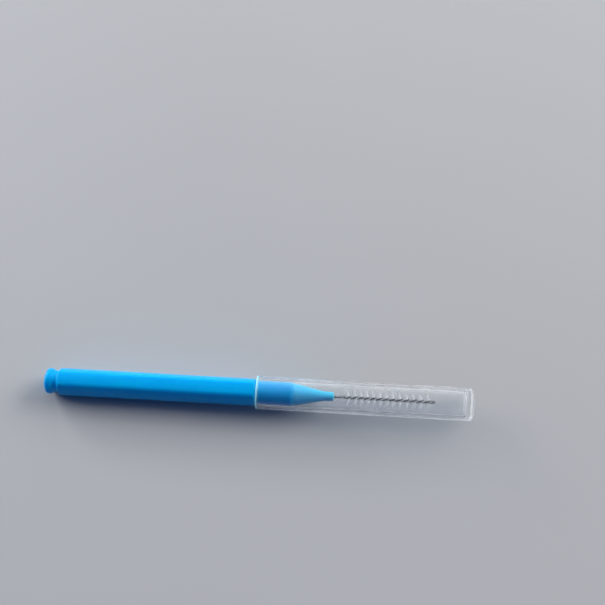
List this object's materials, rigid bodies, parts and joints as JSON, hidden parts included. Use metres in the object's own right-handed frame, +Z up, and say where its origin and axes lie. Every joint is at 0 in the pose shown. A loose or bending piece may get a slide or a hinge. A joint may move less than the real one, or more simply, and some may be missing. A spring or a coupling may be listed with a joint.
{
  "type": "interdental brush",
  "caption": "Pocket interdental brush: hexagonal plastic handle, twisted-wire stem with tapering nylon bristles, and a translucent push-on cap that slides off along the axis.",
  "frame": {"origin": "under the middle of the capped brush's length, on the lowest line of the cap", "axes": "+X along the brush from the handle's button to the cap's closed end, +Z up, with one flat of the hexagonal grip facing down"},
  "size_m": [0.08, 0.0062, 0.0062],
  "materials": {
    "handle_plastic": "satin moulded polypropylene, sky blue",
    "wire_steel": "bright drawn stainless wire",
    "bristle_nylon": "white nylon filament",
    "cap_plastic": "milky translucent polypropylene"
  },
  "bodies": {
    "brush": {"handle": "handle_plastic", "stem_wire": "wire_steel", "bristles": "bristle_nylon"},
    "cap": {"cap": "cap_plastic"}
  },
  "joints": [
    {"name": "cap_slide", "type": "slide", "parent": "brush", "child": "cap", "axis": [1, 0, 0], "range_m": [0, 0.04]}
  ]
}
